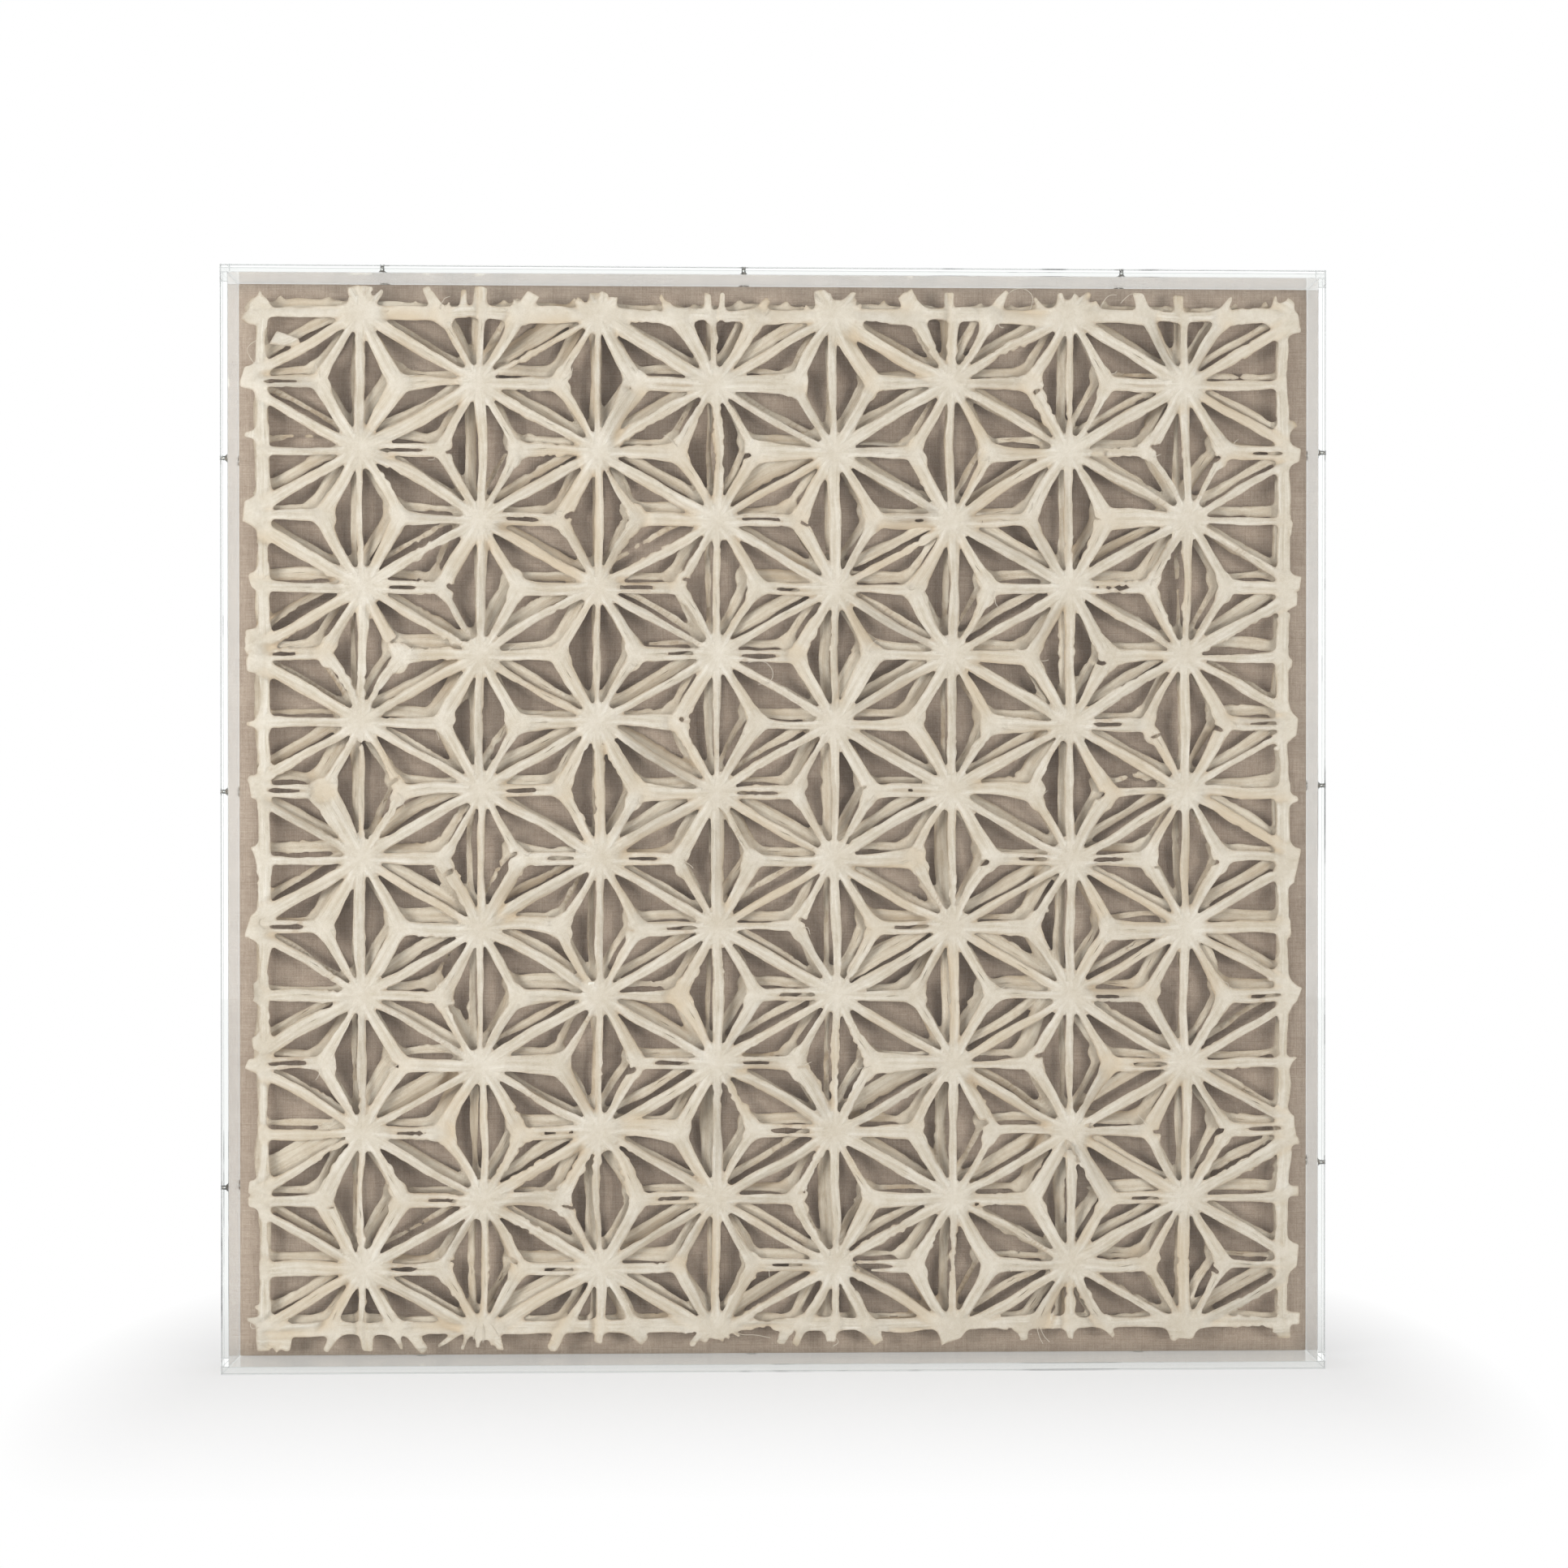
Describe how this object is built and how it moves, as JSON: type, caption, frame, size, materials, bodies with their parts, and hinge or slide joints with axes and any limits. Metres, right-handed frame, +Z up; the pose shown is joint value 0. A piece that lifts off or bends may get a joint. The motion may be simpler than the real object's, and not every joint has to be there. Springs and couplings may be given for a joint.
{
  "type": "framed paper wall art",
  "caption": "Square wall art: a two-layer openwork of cut handmade paper in a hemp-leaf star pattern, over linen in a shallow clear box.",
  "frame": {"origin": "under the middle of the box, at its lowest face", "axes": "the front faces -Y, +Z is up, +X is to the right as seen from the front"},
  "size_m": [0.8, 0.0716, 0.8],
  "materials": {
    "clear_sheet": "clear acrylic sheet with polished edges",
    "handmade_paper": "thick handmade paper, cream, fibrous and matte",
    "foam": "closed-cell foam",
    "linen": "taupe linen in plain weave",
    "board": "bare fibreboard",
    "screw_steel": "zinc-plated",
    "hanger_steel": "zinc-plated, pressed",
    "bumper_rubber": "soft, matte"
  },
  "bodies": {
    "root": {"front_panel": "clear_sheet", "top_wall": "clear_sheet", "bottom_wall": "clear_sheet", "left_wall": "clear_sheet", "right_wall": "clear_sheet", "front_paper": "handmade_paper", "rear_paper": "handmade_paper", "front_pads": "foam", "rear_pads": "foam", "linen_cover": "linen", "backing_board": "board", "top_screws": "screw_steel", "bottom_screws": "screw_steel", "left_screws": "screw_steel", "right_screws": "screw_steel", "left_hanger": "hanger_steel", "right_hanger": "hanger_steel", "hanger_screws": "screw_steel", "wall_bumpers": "bumper_rubber"}
  },
  "joints": []
}
